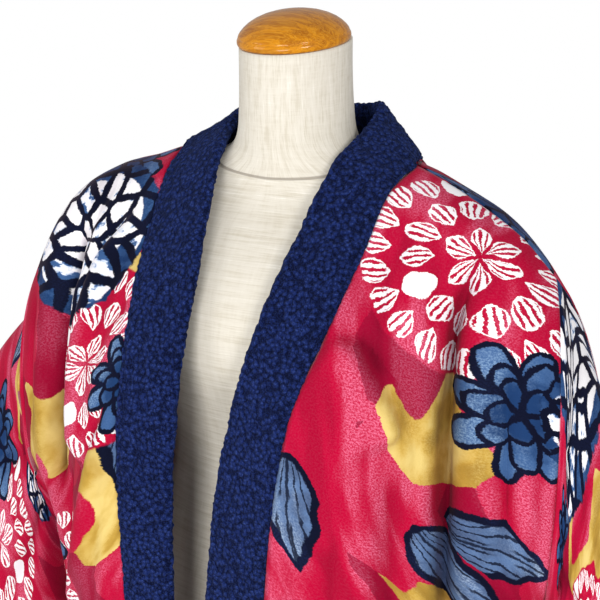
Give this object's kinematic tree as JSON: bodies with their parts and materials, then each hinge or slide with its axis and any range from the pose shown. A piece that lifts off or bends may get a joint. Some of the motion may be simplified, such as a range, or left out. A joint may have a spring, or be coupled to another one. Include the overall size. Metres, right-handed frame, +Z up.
{
  "type": "hanten jacket on a dress form",
  "caption": "Open plush hanten jacket with wide sleeves and a padded pile collar band, worn by a limbless linen dress form on a pole and round base.",
  "frame": {"origin": "On the floor, at the centre of the base's flat underside, under the form's neck.", "axes": "+Z up along the pole. The wearer faces -Y, so the wearer's left sleeve is on +X."},
  "size_m": [0.9255, 0.3473, 1.4544],
  "materials": {
    "plush": "soft brushed plush with a flower print",
    "pile": "curly navy pile",
    "linen": "cream slub linen",
    "wood": "varnished",
    "metal": "satin"
  },
  "bodies": {
    "root": {"front_left": "plush", "front_right": "plush", "back": "plush", "sleeve_left": "plush", "sleeve_right": "plush", "collar": "pile", "form_body": "linen", "form_cap": "wood", "form_pole": "metal", "form_base": "metal"}
  },
  "joints": []
}
